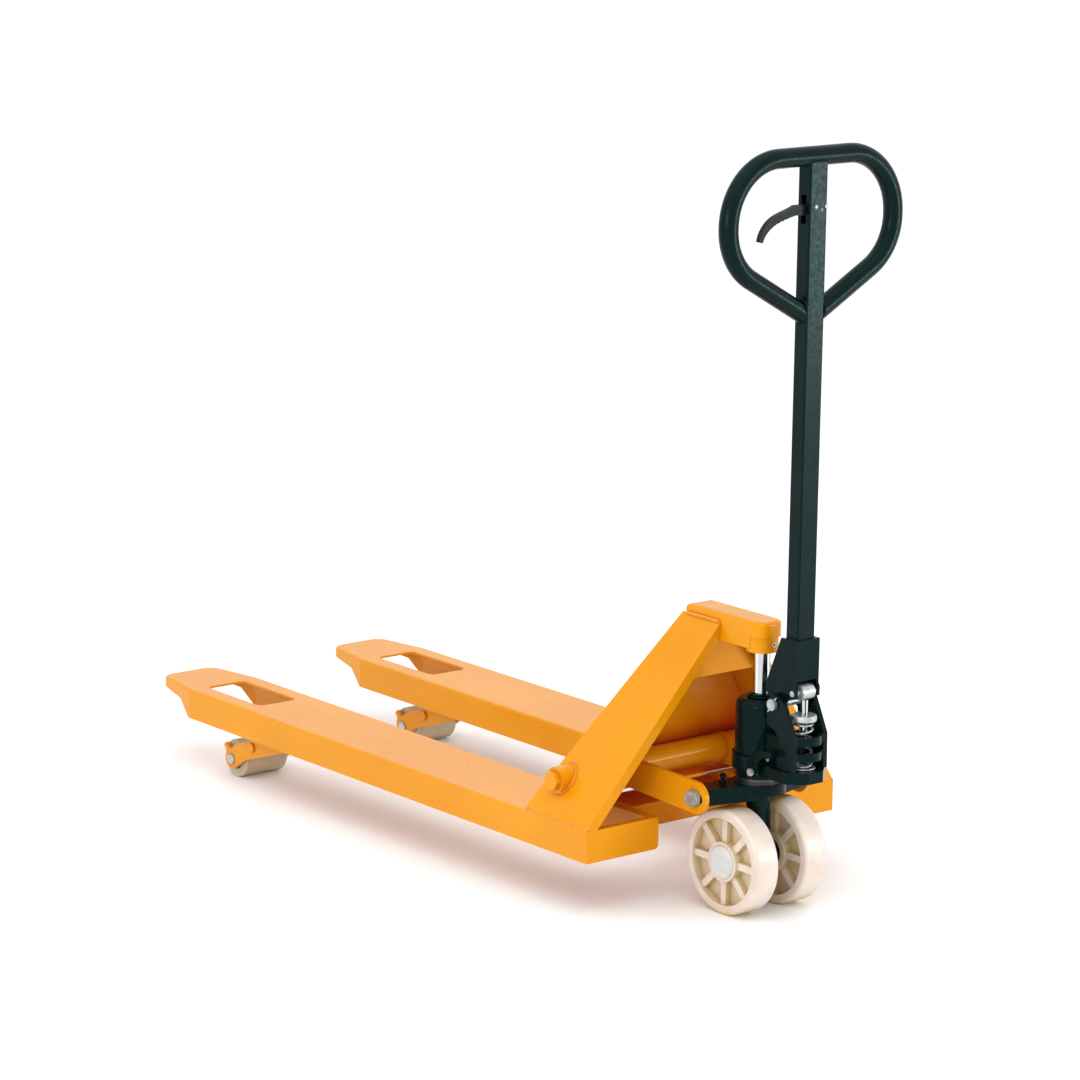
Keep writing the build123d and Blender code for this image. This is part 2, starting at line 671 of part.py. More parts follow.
RIM_R = 74.0
HUB_R = 34.0
RIB_WIDTH = 12.0
RIB_DROP = 5.0
RECESS = 17.0
for side, tag in SIDES:
    inner_face = side * WHEEL_IN
    outer_face = side * (WHEEL_IN + WHEEL_WIDTH)
    with BuildPart() as wheel:
        with BuildSketch(Plane.YZ.offset(inner_face)):
            with Locations((STEER_Y, WHEEL_R)):
                Circle(WHEEL_R)
        extrude(amount=side * WHEEL_WIDTH)
        fillet(wheel.edges().filter_by(GeomType.CIRCLE), 6)
        for face, into in ((outer_face, -side), (inner_face, side)):
            with BuildSketch(Plane.YZ.offset(face)):
                with Locations((STEER_Y, WHEEL_R)):
                    Circle(RIM_R)
                    Circle(HUB_R, mode=Mode.SUBTRACT)
            extrude(amount=into * RIB_DROP, mode=Mode.SUBTRACT)
            with BuildSketch(Plane.YZ.offset(face)):
                with Locations((STEER_Y, WHEEL_R)):
                    Circle(RIM_R)
                    Circle(HUB_R, mode=Mode.SUBTRACT)
                with Locations((STEER_Y, WHEEL_R)):
                    with PolarLocations((RIM_R + HUB_R) / 2, 8):
                        Rectangle(RIM_R - HUB_R + 8, RIB_WIDTH, mode=Mode.SUBTRACT)
            extrude(amount=into * RECESS, mode=Mode.SUBTRACT)
        with BuildSketch(Plane.YZ.offset(inner_face)):
            with Locations((STEER_Y, WHEEL_R)):
                Circle(24)
        extrude(amount=side * (WHEEL_WIDTH - 8), mode=Mode.SUBTRACT)
        with BuildSketch(Plane.YZ.offset(outer_face)):
            with Locations((STEER_Y, WHEEL_R)):
                Circle(28)
        extrude(amount=-side * 9, mode=Mode.SUBTRACT)
    save(wheel.part, f"{tag}_steer_wheel")

    with BuildPart() as bearing:
        for start in (2.0, 24.0):
            with BuildSketch(Plane.YZ.offset(inner_face + side * start)):
                with Locations((STEER_Y, WHEEL_R)):
                    Circle(24 - SEAT)
                    Circle(AXLE_R + RUN, mode=Mode.SUBTRACT)
            extrude(amount=side * 14)
    save(bearing.part, f"{tag}_wheel_bearings")

    with BuildPart() as cap:
        with BuildSketch(Plane.YZ.offset(outer_face - side * 4)):
            with Locations((STEER_Y, WHEEL_R)):
                Circle(28 - SEAT)
        extrude(amount=side * 7)
        crown = cap.faces().sort_by(Axis.X)[-1 if side > 0 else 0]
        fillet(crown.edges(), 2.5)
    save(cap.part, f"{tag}_wheel_cap")

# ---------------------------------------------------------------- pump
with BuildPart() as pump_base:
    with BuildSketch(Plane.XY.offset(BEARING_TOP + GAP)):
        with Locations((0, STEER_Y)):
            Circle(40)
    extrude(amount=FOOT_TOP - BEARING_TOP - GAP)
    with BuildSketch(Plane.XY.offset(FOOT_BOTTOM)):
        with Locations((0, STEER_Y)):
            Circle(46)
        with BuildLine():
            Polyline(
                (-FOOT_HALF, ahead(-20)),
                (-FOOT_HALF, ahead(-113)),
                (-16, ahead(-TAIL_REACH)),
                (16, ahead(-TAIL_REACH)),
                (FOOT_HALF, ahead(-113)),
                (FOOT_HALF, ahead(-20)),
                close=True,
            )
        make_face()
    extrude(amount=FOOT_TOP - FOOT_BOTTOM)
    with BuildSketch(Plane.XY.offset(BEARING_TOP)):
        with Locations((0, STEER_Y)):
            Circle(POST_R + SEAT)
    extrude(amount=FOOT_BOTTOM - BEARING_TOP, mode=Mode.SUBTRACT)
    with BuildSketch(Plane.XY.offset(BEARING_TOP)):
        with Locations((0, STEER_Y)):
            Circle(POST_BORE_R)
    extrude(amount=50, mode=Mode.SUBTRACT)
    bolt_hole = rod(RELEASE_Y, RELEASE_Z, 4 + SEAT, -60, -30)
    add(bolt_hole, mode=Mode.SUBTRACT)
save(pump_base.part, "pump_base")

with BuildPart() as reservoir:
    with BuildSketch(Plane.XY.offset(FOOT_TOP)):
        with Locations((0, STEER_Y)):
            Circle(RESERVOIR_R)
    extrude(amount=RESERVOIR_TOP - FOOT_TOP)
    fillet(reservoir.edges().group_by(Axis.Z)[-1], 13)
    with BuildSketch(Plane.XY.offset(FOOT_TOP)):
        with Locations((0, STEER_Y)):
            Circle(46)
    extrude(amount=6)
    with BuildSketch(Plane.XY.offset(RESERVOIR_TOP - 2)):
        with Locations((0, STEER_Y)):
            Circle(21)
    extrude(amount=6)
    with BuildSketch(Plane.XY.offset(FOOT_TOP)):
        with Locations((0, STEER_Y)):
            Circle(RAM_R + RUN)
    extrude(amount=RESERVOIR_TOP - FOOT_TOP + 10, mode=Mode.SUBTRACT)
save(reservoir.part, "reservoir")

with BuildPart() as cheeks:
    cheek = (
        (ahead(-90), FOOT_TOP),
        (ahead(-87), 314),
        (ahead(-76), 326),
        (ahead(-59), 330),
        (ahead(-56), 368.5),
        (ahead(-66), 385),
        (ahead(-82), 384),
        (ahead(-95), 376),
        (ahead(-115), 335),
        (ahead(-122), 320),
        (ahead(-123), FOOT_TOP),
    )
    for side in (-1, 1):
        x_from = min(side * CHEEK_IN, side * CHEEK_OUT)
        add(sheet(cheek, x_from, x_from + CHEEK_OUT - CHEEK_IN))
    add(block(-CHEEK_IN, CHEEK_IN, ahead(-84), ahead(-48), FOOT_TOP, 312))
    add(block(-CHEEK_OUT, CHEEK_OUT, ahead(-96), ahead(-84), FOOT_TOP, 300))
    add(column(STEER_Y, 250, 270, 46 + SEAT), mode=Mode.SUBTRACT)
    add(column(STEER_Y, 250, 330, RESERVOIR_R + SEAT), mode=Mode.SUBTRACT)
    add(column(PLUNGER_Y, 250, 330, SPRING_WELL_R), mode=Mode.SUBTRACT)
    for low, high in ((279, 293), (305, 320)):
        with BuildSketch(Plane.XY.offset(low)):
            with Locations((0, PLUNGER_Y)):
                Circle(WELL_RING_R)
                Rectangle(2 * CHEEK_IN + 1, 34)
                Circle(SPRING_WELL_R, mode=Mode.SUBTRACT)
        extrude(amount=high - low)
    pivot_hole = rod(PIVOT_Y, PIVOT_Z, 7 + SEAT, -50, 50)
    add(pivot_hole, mode=Mode.SUBTRACT)
save(cheeks.part, "pump_cheeks")

with BuildPart() as pivot_pin:
    add(rod(PIVOT_Y, PIVOT_Z, 7, -42, 42))
    add(rod(PIVOT_Y, PIVOT_Z, 9.5, -44.5, -CHEEK_OUT - 0.2))
    cross_hole = Cylinder(1.6, 40, mode=Mode.PRIVATE)
    add(Pos(-41.5, PIVOT_Y, PIVOT_Z) * Rot(35, 0, 0) * cross_hole, mode=Mode.SUBTRACT)
save(pivot_pin.part, "handle_pivot_pin")

with BuildPart() as split_pin:
    with Locations(Pos(-41.5, PIVOT_Y, PIVOT_Z) * Rot(35, 0, 0)):
        Cylinder(1.5, 32)
save(split_pin.part, "pivot_split_pin")

with BuildPart() as valve_bolts:
    add(rod(RELEASE_Y, RELEASE_Z, 4, -57, -40))
    with BuildSketch(Plane.YZ.offset(-62)):
        with Locations((RELEASE_Y, RELEASE_Z)):
            RegularPolygon(6.5, 6)
    extrude(amount=5)
save(valve_bolts.part, "release_bolt")

with BuildPart() as release_lever:
    with BuildSketch(Plane.YZ.offset(-54.5)):
        with BuildLine():
            Polyline(
                (RELEASE_Y + 9, RELEASE_Z),
                (RELEASE_Y + 8, RELEASE_Z + 13),
                (RELEASE_Y - 1, RELEASE_Z + 30),
                (RELEASE_Y - 14, RELEASE_Z + 39),
                (RELEASE_Y - 44, RELEASE_Z + 42),
                (RELEASE_Y - 44, RELEASE_Z + 31),
                (RELEASE_Y - 22, RELEASE_Z + 28),
                (RELEASE_Y - 12, RELEASE_Z + 19),
                (RELEASE_Y - 9, RELEASE_Z),
                close=True,
            )
        make_face()
        with Locations((RELEASE_Y, RELEASE_Z)):
            Circle(9)
        with Locations((RELEASE_Y, RELEASE_Z)):
            Circle(4 + RUN, mode=Mode.SUBTRACT)
    extrude(amount=7)
save(release_lever.part, "release_lever")

# ---------------------------------------------------------------- plunger
with BuildPart() as plunger:
    with BuildSketch(Plane.XY.offset(353)):
        with Locations((0, PLUNGER_Y)):
            Circle(6.5)
    extrude(amount=PUMP_ROLLER_Z - PUMP_ROLLER_R - GAP - 353)
    with BuildSketch(Plane.XY.offset(321)):
        with Locations((0, PLUNGER_Y)):
            Circle(7)
    extrude(amount=21)
save(plunger.part, "plunger_rod")

with BuildPart() as spring_cap:
    with BuildSketch(Plane.XY.offset(342)):
        with Locations((0, PLUNGER_Y)):
            Circle(21.5)
    extrude(amount=11)
    fillet(spring_cap.edges(), 3)
save(spring_cap.part, "spring_cap")

SPRING_LOW = FOOT_TOP + 2.4
SPRING_HIGH = 342 - 2.4
with BuildPart() as spring:
    with BuildLine(Plane((0, PLUNGER_Y, SPRING_LOW))):
        coil = Helix(pitch=(SPRING_HIGH - SPRING_LOW) / 7, height=SPRING_HIGH - SPRING_LOW, radius=14.5)
    with BuildSketch(Plane(coil @ 0, z_dir=coil % 0)):
        Circle(2.2)
    sweep()
save(spring.part, "plunger_spring")

# ---------------------------------------------------------------- handle
with BuildPart() as bracket:
    side_plate = (
        (ahead(BRACKET_REAR), BRACKET_TOP),
        (ahead(-74), BRACKET_TOP),
        (ahead(-40), 396),
        (ahead(-38), 388),
        (ahead(-56), PIVOT_Z),
        (ahead(-64), 355),
        (ahead(-82), 355),
        (ahead(-92), 380),
        (ahead(-112.5), 383),
        (ahead(-113), 398),
        (ahead(BRACKET_REAR), 404),
    )
    for side in (-1, 1):
        x_from = min(side * BRACKET_IN, side * BRACKET_OUT)
        add(sheet(side_plate, x_from, x_from + BRACKET_OUT - BRACKET_IN))
    add(block(-BRACKET_IN, BRACKET_IN, ahead(BRACKET_REAR), ahead(-105.5), 411, BRACKET_TOP))
    add(rod(PIVOT_Y, PIVOT_Z, 7 + RUN, -60, 60), mode=Mode.SUBTRACT)
    add(rod(PUMP_ROLLER_Y, PUMP_ROLLER_Z, 5 + SEAT, -60, 60), mode=Mode.SUBTRACT)
save(bracket.part, "handle_bracket")

with BuildPart() as roller_pin:
    add(rod(PUMP_ROLLER_Y, PUMP_ROLLER_Z, 5, -BRACKET_OUT - 1.2, BRACKET_OUT + 1.2))
save(roller_pin.part, "pump_roller_pin")

with BuildPart() as pump_roller:
    with BuildSketch(Plane.YZ.offset(-13)):
        with Locations((PUMP_ROLLER_Y, PUMP_ROLLER_Z)):
            Circle(PUMP_ROLLER_R)
            Circle(5 + RUN, mode=Mode.SUBTRACT)
    extrude(amount=26)
save(pump_roller.part, "pump_roller")

loop_plane = Plane(origin=(0, TUBE_Y, 0), x_dir=(1, 0, 0), z_dir=(0, -1, 0))
with BuildLine(loop_plane) as loop_line:
    ring = FilletPolyline(
        (-8, LOOP_FOOT - 6),
        (-LOOP_HALF, LOOP_TOP - 161),
        (-LOOP_HALF, LOOP_TOP),
        (LOOP_HALF, LOOP_TOP),
        (LOOP_HALF, LOOP_TOP - 161),
        (8, LOOP_FOOT - 6),
        radius=(95, 102, 102, 95),
    )
with BuildPart() as loop:
    with BuildSketch(Plane(ring @ 0, z_dir=ring % 0)):
        Circle(LOOP_R)
        Circle(LOOP_R - LOOP_WALL, mode=Mode.SUBTRACT)
    sweep(path=ring)
    tube_space = (-TUBE_X_HALF, TUBE_X_HALF, TUBE_Y - 30, TUBE_Y + 30, LOOP_FOOT - 80, LOOP_FOOT + 60)
    add(block(*tube_space), mode=Mode.SUBTRACT)
save(loop.part, "hand_loop")

with BuildPart() as handle_tube:
    tube_z = (420, LOOP_TOP - 2)
    outer = (-TUBE_X_HALF, TUBE_X_HALF, TUBE_Y - TUBE_Y_HALF, TUBE_Y + TUBE_Y_HALF)
    add(block(*outer, *tube_z))
    fillet(handle_tube.edges().filter_by(Axis.Z), 3)
    wall = HANDLE_WALL
    inner_space = (outer[0] + wall, outer[1] - wall, outer[2] + wall, outer[3] - wall)
    add(block(*inner_space, 410, LOOP_TOP + 10), mode=Mode.SUBTRACT)
    add(rod(TUBE_Y, LOOP_TOP, LOOP_R + SEAT, -60, 60), mode=Mode.SUBTRACT)
    add(block(-30, -10, TUBE_Y - 6, TUBE_Y + 6, GRIP_Z - 22, GRIP_Z + 24), mode=Mode.SUBTRACT)
    add(bolt(GRIP_PIVOT_X, TUBE_Y - 20, TUBE_Y + 20, GRIP_Z, 3 + SEAT), mode=Mode.SUBTRACT)
save(handle_tube.part, "handle_tube")

with BuildPart() as grip_pin:
    add(bolt(GRIP_PIVOT_X, TUBE_Y - TUBE_Y_HALF - 0.5, TUBE_Y + TUBE_Y_HALF + 0.5, GRIP_Z, 3))
save(grip_pin.part, "grip_pin")

with BuildPart() as grip_lever:
    with BuildSketch(Plane(origin=(0, TUBE_Y + 4.5, 0), x_dir=(1, 0, 0), z_dir=(0, -1, 0))):
        with BuildLine():
            Polyline((GRIP_PIVOT_X, GRIP_Z + 7), (-20, GRIP_Z + 9), (-40, GRIP_Z + 9))
            Spline(
                (-40, GRIP_Z + 9),
                (-64, GRIP_Z + 1),
                (-90, GRIP_Z - 9),
                (-107, GRIP_Z - 25),
                (-115, GRIP_Z - 44),
            )
            Polyline((-115, GRIP_Z - 44), (-108, GRIP_Z - 46))
            Spline(
                (-108, GRIP_Z - 46),
                (-99, GRIP_Z - 31),
                (-86, GRIP_Z - 21),
                (-62, GRIP_Z - 12),
                (-40, GRIP_Z - 7),
            )
            Polyline(
                (-40, GRIP_Z - 7),
                (-20, GRIP_Z - 8),
                (GRIP_PIVOT_X, GRIP_Z - 7),
                (GRIP_PIVOT_X, GRIP_Z + 7),
            )
        make_face()
        with Locations((GRIP_PIVOT_X, GRIP_Z)):
            Circle(7)
            Circle(3 + RUN, mode=Mode.SUBTRACT)
    extrude(amount=9)
    rod_slot = (PULL_X - 4.5, PULL_X + 4.5, TUBE_Y - 3, TUBE_Y + 3, GRIP_Z - 20, GRIP_Z + 20)
    add(block(*rod_slot), mode=Mode.SUBTRACT)
save(grip_lever.part, "grip_lever")

with BuildPart() as pull_rod:
    with BuildSketch(Plane.XY.offset(430)):
        with Locations((PULL_X, TUBE_Y)):
            Circle(2.4)
    extrude(amount=GRIP_Z - 430 + 12)
    with BuildSketch(Plane.XY.offset(GRIP_Z + 10.5)):
        with Locations((PULL_X, TUBE_Y)):
            Circle(5)
    extrude(amount=4)
save(pull_rod.part, "pull_rod")
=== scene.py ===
"""Hand pallet truck in a pale studio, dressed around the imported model."""
import json
import math
import random

import bmesh
import bpy
from mathutils import Matrix, Vector


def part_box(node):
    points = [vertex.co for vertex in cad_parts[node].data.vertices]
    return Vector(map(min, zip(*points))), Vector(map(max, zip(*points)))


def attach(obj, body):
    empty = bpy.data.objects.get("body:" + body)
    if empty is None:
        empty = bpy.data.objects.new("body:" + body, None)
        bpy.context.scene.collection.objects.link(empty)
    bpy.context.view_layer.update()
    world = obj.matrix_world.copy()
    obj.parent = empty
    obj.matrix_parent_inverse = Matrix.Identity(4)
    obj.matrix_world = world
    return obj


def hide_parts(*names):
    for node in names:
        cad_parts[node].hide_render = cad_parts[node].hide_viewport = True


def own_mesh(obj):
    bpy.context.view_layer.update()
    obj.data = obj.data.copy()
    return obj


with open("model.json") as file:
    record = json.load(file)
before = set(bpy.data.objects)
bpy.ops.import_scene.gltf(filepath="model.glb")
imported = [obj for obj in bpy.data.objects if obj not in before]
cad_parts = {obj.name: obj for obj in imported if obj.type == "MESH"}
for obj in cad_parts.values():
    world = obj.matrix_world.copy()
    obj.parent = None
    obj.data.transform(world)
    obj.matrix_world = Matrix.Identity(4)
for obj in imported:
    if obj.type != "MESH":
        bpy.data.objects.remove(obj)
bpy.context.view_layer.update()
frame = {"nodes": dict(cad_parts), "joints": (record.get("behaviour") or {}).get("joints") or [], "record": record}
nodes = frame["nodes"]
X, Y, Z = Vector((1, 0, 0)), Vector((0, 1, 0)), Vector((0, 0, 1))
SIDES = ((-1, "left"), (1, "right"))


# ---------------------------------------------------------------- places read from the frame
def low(node):
    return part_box(node)[0]


def high(node):
    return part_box(node)[1]


def middle(node):
    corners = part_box(node)
    return (corners[0] + corners[1]) / 2


def pivot(joint_name):
    """Point on the axis of a hinge."""
    for joint in frame["joints"]:
        if joint["name"] == joint_name:
            return Vector(joint["pos_m"])
    raise KeyError(joint_name)


# The reservoir stands on the steering axis
STEER = middle("reservoir")
FORK_TOP = high("left_fork").z
HALF = high("right_fork").x
LEG_TOP = high("left_leg").z
PLUNGER = middle("spring_cap")
ROCKER = pivot("rocker_turn")
TUBE = middle("handle_tube")
TUBE_HALF_Y = (high("handle_tube").y - low("handle_tube").y) / 2


# ---------------------------------------------------------------- materials
class Shader:
    """A principled material with short calls for the nodes that feed it."""

    def __init__(self, name):
        self.material = bpy.data.materials.new(name)
        self.material.use_nodes = True
        self.tree = self.material.node_tree
        self.body = self.tree.nodes["Principled BSDF"]
        self.place = self.tree.nodes.new("ShaderNodeTexCoord").outputs["Object"]

    def node(self, kind, **inputs):
        made = self.tree.nodes.new(kind)
        for key, value in inputs.items():
            self.feed(made.inputs[key.replace("_", " ")], value)
        return made

    def feed(self, socket, value):
        if isinstance(value, bpy.types.NodeSocket):
            self.tree.links.new(value, socket)
        else:
            socket.default_value = value

    def set(self, **inputs):
        for key, value in inputs.items():
            self.feed(self.body.inputs[key.replace("_", " ")], value)

    def stretched(self, scale):
        made = self.node("ShaderNodeMapping", Vector=self.place)
        made.inputs["Scale"].default_value = scale
        return made.outputs["Vector"]

    def noise(self, scale, detail=3.0, roughness=0.55, place=None):
        made = self.node(
            "ShaderNodeTexNoise", Vector=place or self.place, Scale=scale, Detail=detail, Roughness=roughness,
        )
        return made.outputs["Fac"]

    def band(self, value, start, end, low_value=0.0, high_value=1.0):
        """Value from start to end, mapped to low_value to high_value and clamped."""
        made = self.node(
            "ShaderNodeMapRange", Value=value, From_Min=start, From_Max=end,
            To_Min=low_value, To_Max=high_value,
        )
        return made.outputs["Result"]

    def mix(self, factor, first, second):
        made = self.tree.nodes.new("ShaderNodeMix")
        made.data_type = "RGBA"
        self.feed(made.inputs["Factor"], factor)
        self.feed(made.inputs["A"], colour(first))
        self.feed(made.inputs["B"], colour(second))
        return made.outputs["Result"]

    def painted_corner_shade(self, distance, start=0.35, end=0.85):
        """Mask for painted shade: 1 deep in corners, 0 on open faces."""
        made = self.node("ShaderNodeAmbientOcclusion", Distance=distance)
        made.samples = 6
        return self.band(made.outputs["AO"], start, end, 1.0, 0.0)

    def bump(self, height, strength, distance, normal=None):
        made = self.node("ShaderNodeBump", Height=height, Strength=strength, Distance=distance)
        if normal is not None:
            self.feed(made.inputs["Normal"], normal)
        return made.outputs["Normal"]


def colour(value):
    return (*value, 1.0) if isinstance(value, tuple) and len(value) == 3 else value


# Orange enamel with painted shade: the second and third arguments set how far hollows darken and the colour they
# darken to.
def orange_paint(name, depth, painted_dark):
    s = Shader(name)
    drift = s.noise(5.0, 4.0)
    base = s.mix(s.band(drift, 0.3, 0.7), (0.64, 0.235, 0.001), (0.71, 0.275, 0.003))
    streak = s.noise(60.0, 5.0, place=s.stretched((1.0, 0.12, 1.0)))
    base = s.mix(s.band(streak, 0.62, 0.74, 0.0, 0.16), base, (0.88, 0.40, 0.04))
    # Painted shade in deep hollows, pulled towards a darker, redder orange
    painted_hollow_shade = s.painted_corner_shade(0.16, 0.25, 0.8)
    base = s.mix(s.band(painted_hollow_shade, 0.0, 1.0, 0.0, depth), base, painted_dark)
    # Painted shade in tight corners and creases
    painted_corner_shade = s.painted_corner_shade(0.016)
    base = s.mix(s.band(painted_corner_shade, 0.0, 1.0, 0.0, 0.45), base, (0.42, 0.085, 0.003))
    smudge = s.band(s.noise(95.0, 6.0, 0.7), 0.70, 0.76, 0.0, 0.35)
    base = s.mix(smudge, base, (0.30, 0.075, 0.012))
    scuffs = s.band(s.noise(210.0, 3.0, place=s.stretched((1.0, 0.25, 1.0))), 0.3, 0.75, 0.27, 0.43)
    peel = s.bump(s.noise(340.0, 2.0), 0.10, 0.0004)
    dents = s.bump(s.noise(9.0, 3.0), 0.10, 0.004, peel)
    s.set(Base_Color=base, Roughness=scuffs, Normal=dents, Specular_IOR_Level=0.32)
    s.set(Specular_Tint=(1.0, 0.60, 0.06, 1.0))
    s.set(Coat_Weight=0.18, Coat_Roughness=0.12)
    return s.material


def weld_paint():
    s = Shader("weld_paint")
    base = s.mix(s.band(s.noise(160.0), 0.35, 0.7), (0.62, 0.20, 0.003), (0.78, 0.29, 0.006))
    # Painted shade where the bead meets the plate
    base = s.mix(s.band(s.painted_corner_shade(0.006), 0.0, 1.0, 0.0, 0.6), base, (0.36, 0.07, 0.003))
    rough = s.band(s.noise(500.0), 0.3, 0.7, 0.28, 0.5)
    s.set(Base_Color=base, Roughness=rough, Normal=s.bump(s.noise(700.0), 0.25, 0.0005))
    s.set(Specular_IOR_Level=0.35, Coat_Weight=0.2, Coat_Roughness=0.15)
    return s.material


def black_enamel(name="black_enamel", grain=380.0, relief=0.08, gloss=0.24, shine=0.13):
    s = Shader(name)
    base = s.mix(s.band(s.noise(12.0, 4.0), 0.3, 0.7), (0.0010, 0.0048, 0.0050), (0.0022, 0.0085, 0.0090))
    dust = s.band(s.noise(55.0, 5.0, 0.65), 0.60, 0.78, 0.0, 0.22)
    base = s.mix(dust, base, (0.009, 0.021, 0.022))
    # Painted shade in corners
    base = s.mix(s.band(s.painted_corner_shade(0.012), 0.0, 1.0, 0.0, 0.5), base, (0.001, 0.002, 0.002))
    rough = s.band(s.noise(150.0, 4.0), 0.3, 0.7, gloss - 0.06, gloss + 0.12)
    fine = s.bump(s.noise(grain, 3.0), relief, 0.0006)
    broad = s.bump(s.noise(22.0, 2.0), 0.10, 0.002, fine)
    s.set(Base_Color=base, Roughness=rough, Normal=broad, Specular_IOR_Level=shine)
    s.set(Specular_Tint=(0.50, 0.92, 0.92, 1.0))
    return s.material


# Painted reflections: dark bands on a ground bar, standing in for the room it mirrors, across it: from, to, depth
# and tint
ACROSS_THE_BAR = (0.775, -0.632, 0.0)
BAND_EDGE = 0.06
PAINTED_REFLECTIONS = (
    (-1.2, -0.93, 0.8, (0.16, 0.08, 0.03)),
    (-0.48, 0.05, 0.55, (0.30, 0.33, 0.33)),
    (0.17, 0.48, 0.97, (0.012, 0.017, 0.028)),
    (0.88, 1.2, 0.8, (0.10, 0.10, 0.10)),
)


def chrome():
    s = Shader("ground_chrome")
    lines = s.noise(900.0, 2.0, place=s.stretched((0.05, 0.05, 1.0)))
    base = s.mix(s.band(s.noise(24.0), 0.3, 0.7), (0.70, 0.71, 0.72), (0.86, 0.87, 0.88))
    base = s.mix(s.band(s.noise(90.0, 5.0), 0.66, 0.76, 0.0, 0.4), base, (0.36, 0.36, 0.35))
    normal = s.tree.nodes.new("ShaderNodeTexCoord").outputs["Normal"]
    across = s.node("ShaderNodeVectorMath", Vector=normal)
    across.operation = "DOT_PRODUCT"
    across.inputs[1].default_value = ACROSS_THE_BAR
    turn = across.outputs["Value"]
    # Paints the reflection bands into the base colour, by which way the surface faces across the bar
    for start, end, painted_dark, tint in PAINTED_REFLECTIONS:
        rise = s.band(turn, start - BAND_EDGE, start, 0.0, painted_dark)
        fall = s.band(turn, end, end + BAND_EDGE, 1.0, 0.0)
        both = s.node("ShaderNodeMath", Value=rise)
        both.operation = "MULTIPLY"
        s.feed(both.inputs[1], fall)
        base = s.mix(both.outputs[0], base, tint)
    s.set(Base_Color=base, Metallic=1.0, Roughness=s.band(lines, 0.3, 0.7, 0.07, 0.18))
    s.set(Normal=s.bump(lines, 0.05, 0.0003))
    return s.material


def zinc_steel():
    s = Shader("plated_zinc")
    blotch = s.noise(70.0, 5.0, 0.6)
    base = s.mix(s.band(blotch, 0.32, 0.68), (0.30, 0.34, 0.34), (0.56, 0.60, 0.60))
    base = s.mix(s.band(s.noise(30.0, 3.0), 0.64, 0.78, 0.0, 0.2), base, (0.40, 0.37, 0.28))
    # Painted shade in corners, nearly black
    base = s.mix(s.band(s.painted_corner_shade(0.006), 0.0, 1.0, 0.0, 0.7), base, (0.08, 0.075, 0.07))
    rough = s.band(s.noise(320.0, 4.0), 0.3, 0.7, 0.24, 0.45)
    s.set(Base_Color=base, Metallic=0.7, Roughness=rough, Normal=s.bump(s.noise(650.0), 0.12, 0.0004))
    return s.material


def wheel_nylon():
    s = Shader("wheel_nylon")
    cloud = s.noise(26.0, 4.0, 0.6)
    base = s.mix(s.band(cloud, 0.3, 0.7), (0.62, 0.53, 0.45), (0.72, 0.62, 0.56))
    # Painted shade in the wheel's pockets, darker and yellower
    base = s.mix(s.band(s.painted_corner_shade(0.030, 0.15, 0.95), 0.0, 1.0, 0.0, 0.9), base, (0.52, 0.36, 0.09))
    marks = s.band(s.noise(120.0, 4.0, place=s.stretched((0.3, 1.0, 1.0))), 0.66, 0.78, 0.0, 0.30)
    base = s.mix(marks, base, (0.42, 0.34, 0.18))
    rough = s.band(s.noise(180.0, 3.0), 0.3, 0.7, 0.30, 0.48)
    s.set(Base_Color=base, Roughness=rough, Normal=s.bump(s.noise(260.0, 3.0), 0.10, 0.0006))
    s.set(Subsurface_Weight=0.25, Subsurface_Radius=(0.012, 0.009, 0.004), Subsurface_Scale=1.0)
    s.set(Coat_Weight=0.2, Coat_Roughness=0.2)
    return s.material


def roller_nylon():
    s = Shader("roller_nylon")
    base = s.mix(s.band(s.noise(30.0, 4.0), 0.3, 0.7), (0.40, 0.33, 0.21), (0.54, 0.46, 0.32))
    worn = s.noise(90.0, 5.0, 0.6, place=s.stretched((1.0, 0.2, 0.2)))
    base = s.mix(s.band(worn, 0.55, 0.75, 0.0, 0.5), base, (0.30, 0.23, 0.14))
    rough = s.band(s.noise(200.0), 0.3, 0.7, 0.38, 0.6)
    s.set(Base_Color=base, Roughness=rough, Normal=s.bump(worn, 0.15, 0.0008))
    s.set(Subsurface_Weight=0.1, Subsurface_Radius=(0.008, 0.006, 0.003), Subsurface_Scale=1.0)
    return s.material


def cap_plastic():
    s = Shader("cap_plastic")
    base = s.mix(s.band(s.noise(60.0), 0.3, 0.7), (0.54, 0.55, 0.53), (0.62, 0.62, 0.61))
    # Painted shade in corners
    base = s.mix(s.band(s.painted_corner_shade(0.004), 0.0, 1.0, 0.0, 0.5), base, (0.45, 0.40, 0.32))
    rough = s.band(s.noise(300.0), 0.3, 0.7, 0.34, 0.5)
    s.set(Base_Color=base, Roughness=rough, Normal=s.bump(s.noise(420.0), 0.06, 0.0004))
    return s.material


def grip_plastic():
    s = Shader("grip_plastic")
    base = s.mix(s.band(s.noise(40.0), 0.3, 0.7), (0.003, 0.007, 0.008), (0.008, 0.014, 0.015))
    base = s.mix(s.band(s.noise(110.0, 4.0), 0.62, 0.76, 0.0, 0.4), base, (0.03, 0.04, 0.04))
    rough = s.band(s.noise(240.0), 0.3, 0.7, 0.36, 0.52)
    s.set(Base_Color=base, Roughness=rough, Normal=s.bump(s.noise(800.0), 0.22, 0.0004))
    s.set(Specular_IOR_Level=0.15)
    return s.material


def brass():
    s = Shader("brass")
    base = s.mix(s.band(s.noise(120.0), 0.3, 0.7), (0.62, 0.30, 0.07), (0.85, 0.50, 0.16))
    s.set(Base_Color=base, Metallic=1.0, Roughness=s.band(s.noise(300.0), 0.3, 0.7, 0.2, 0.4))
    s.set(Normal=s.bump(s.noise(500.0), 0.08, 0.0003))
    return s.material


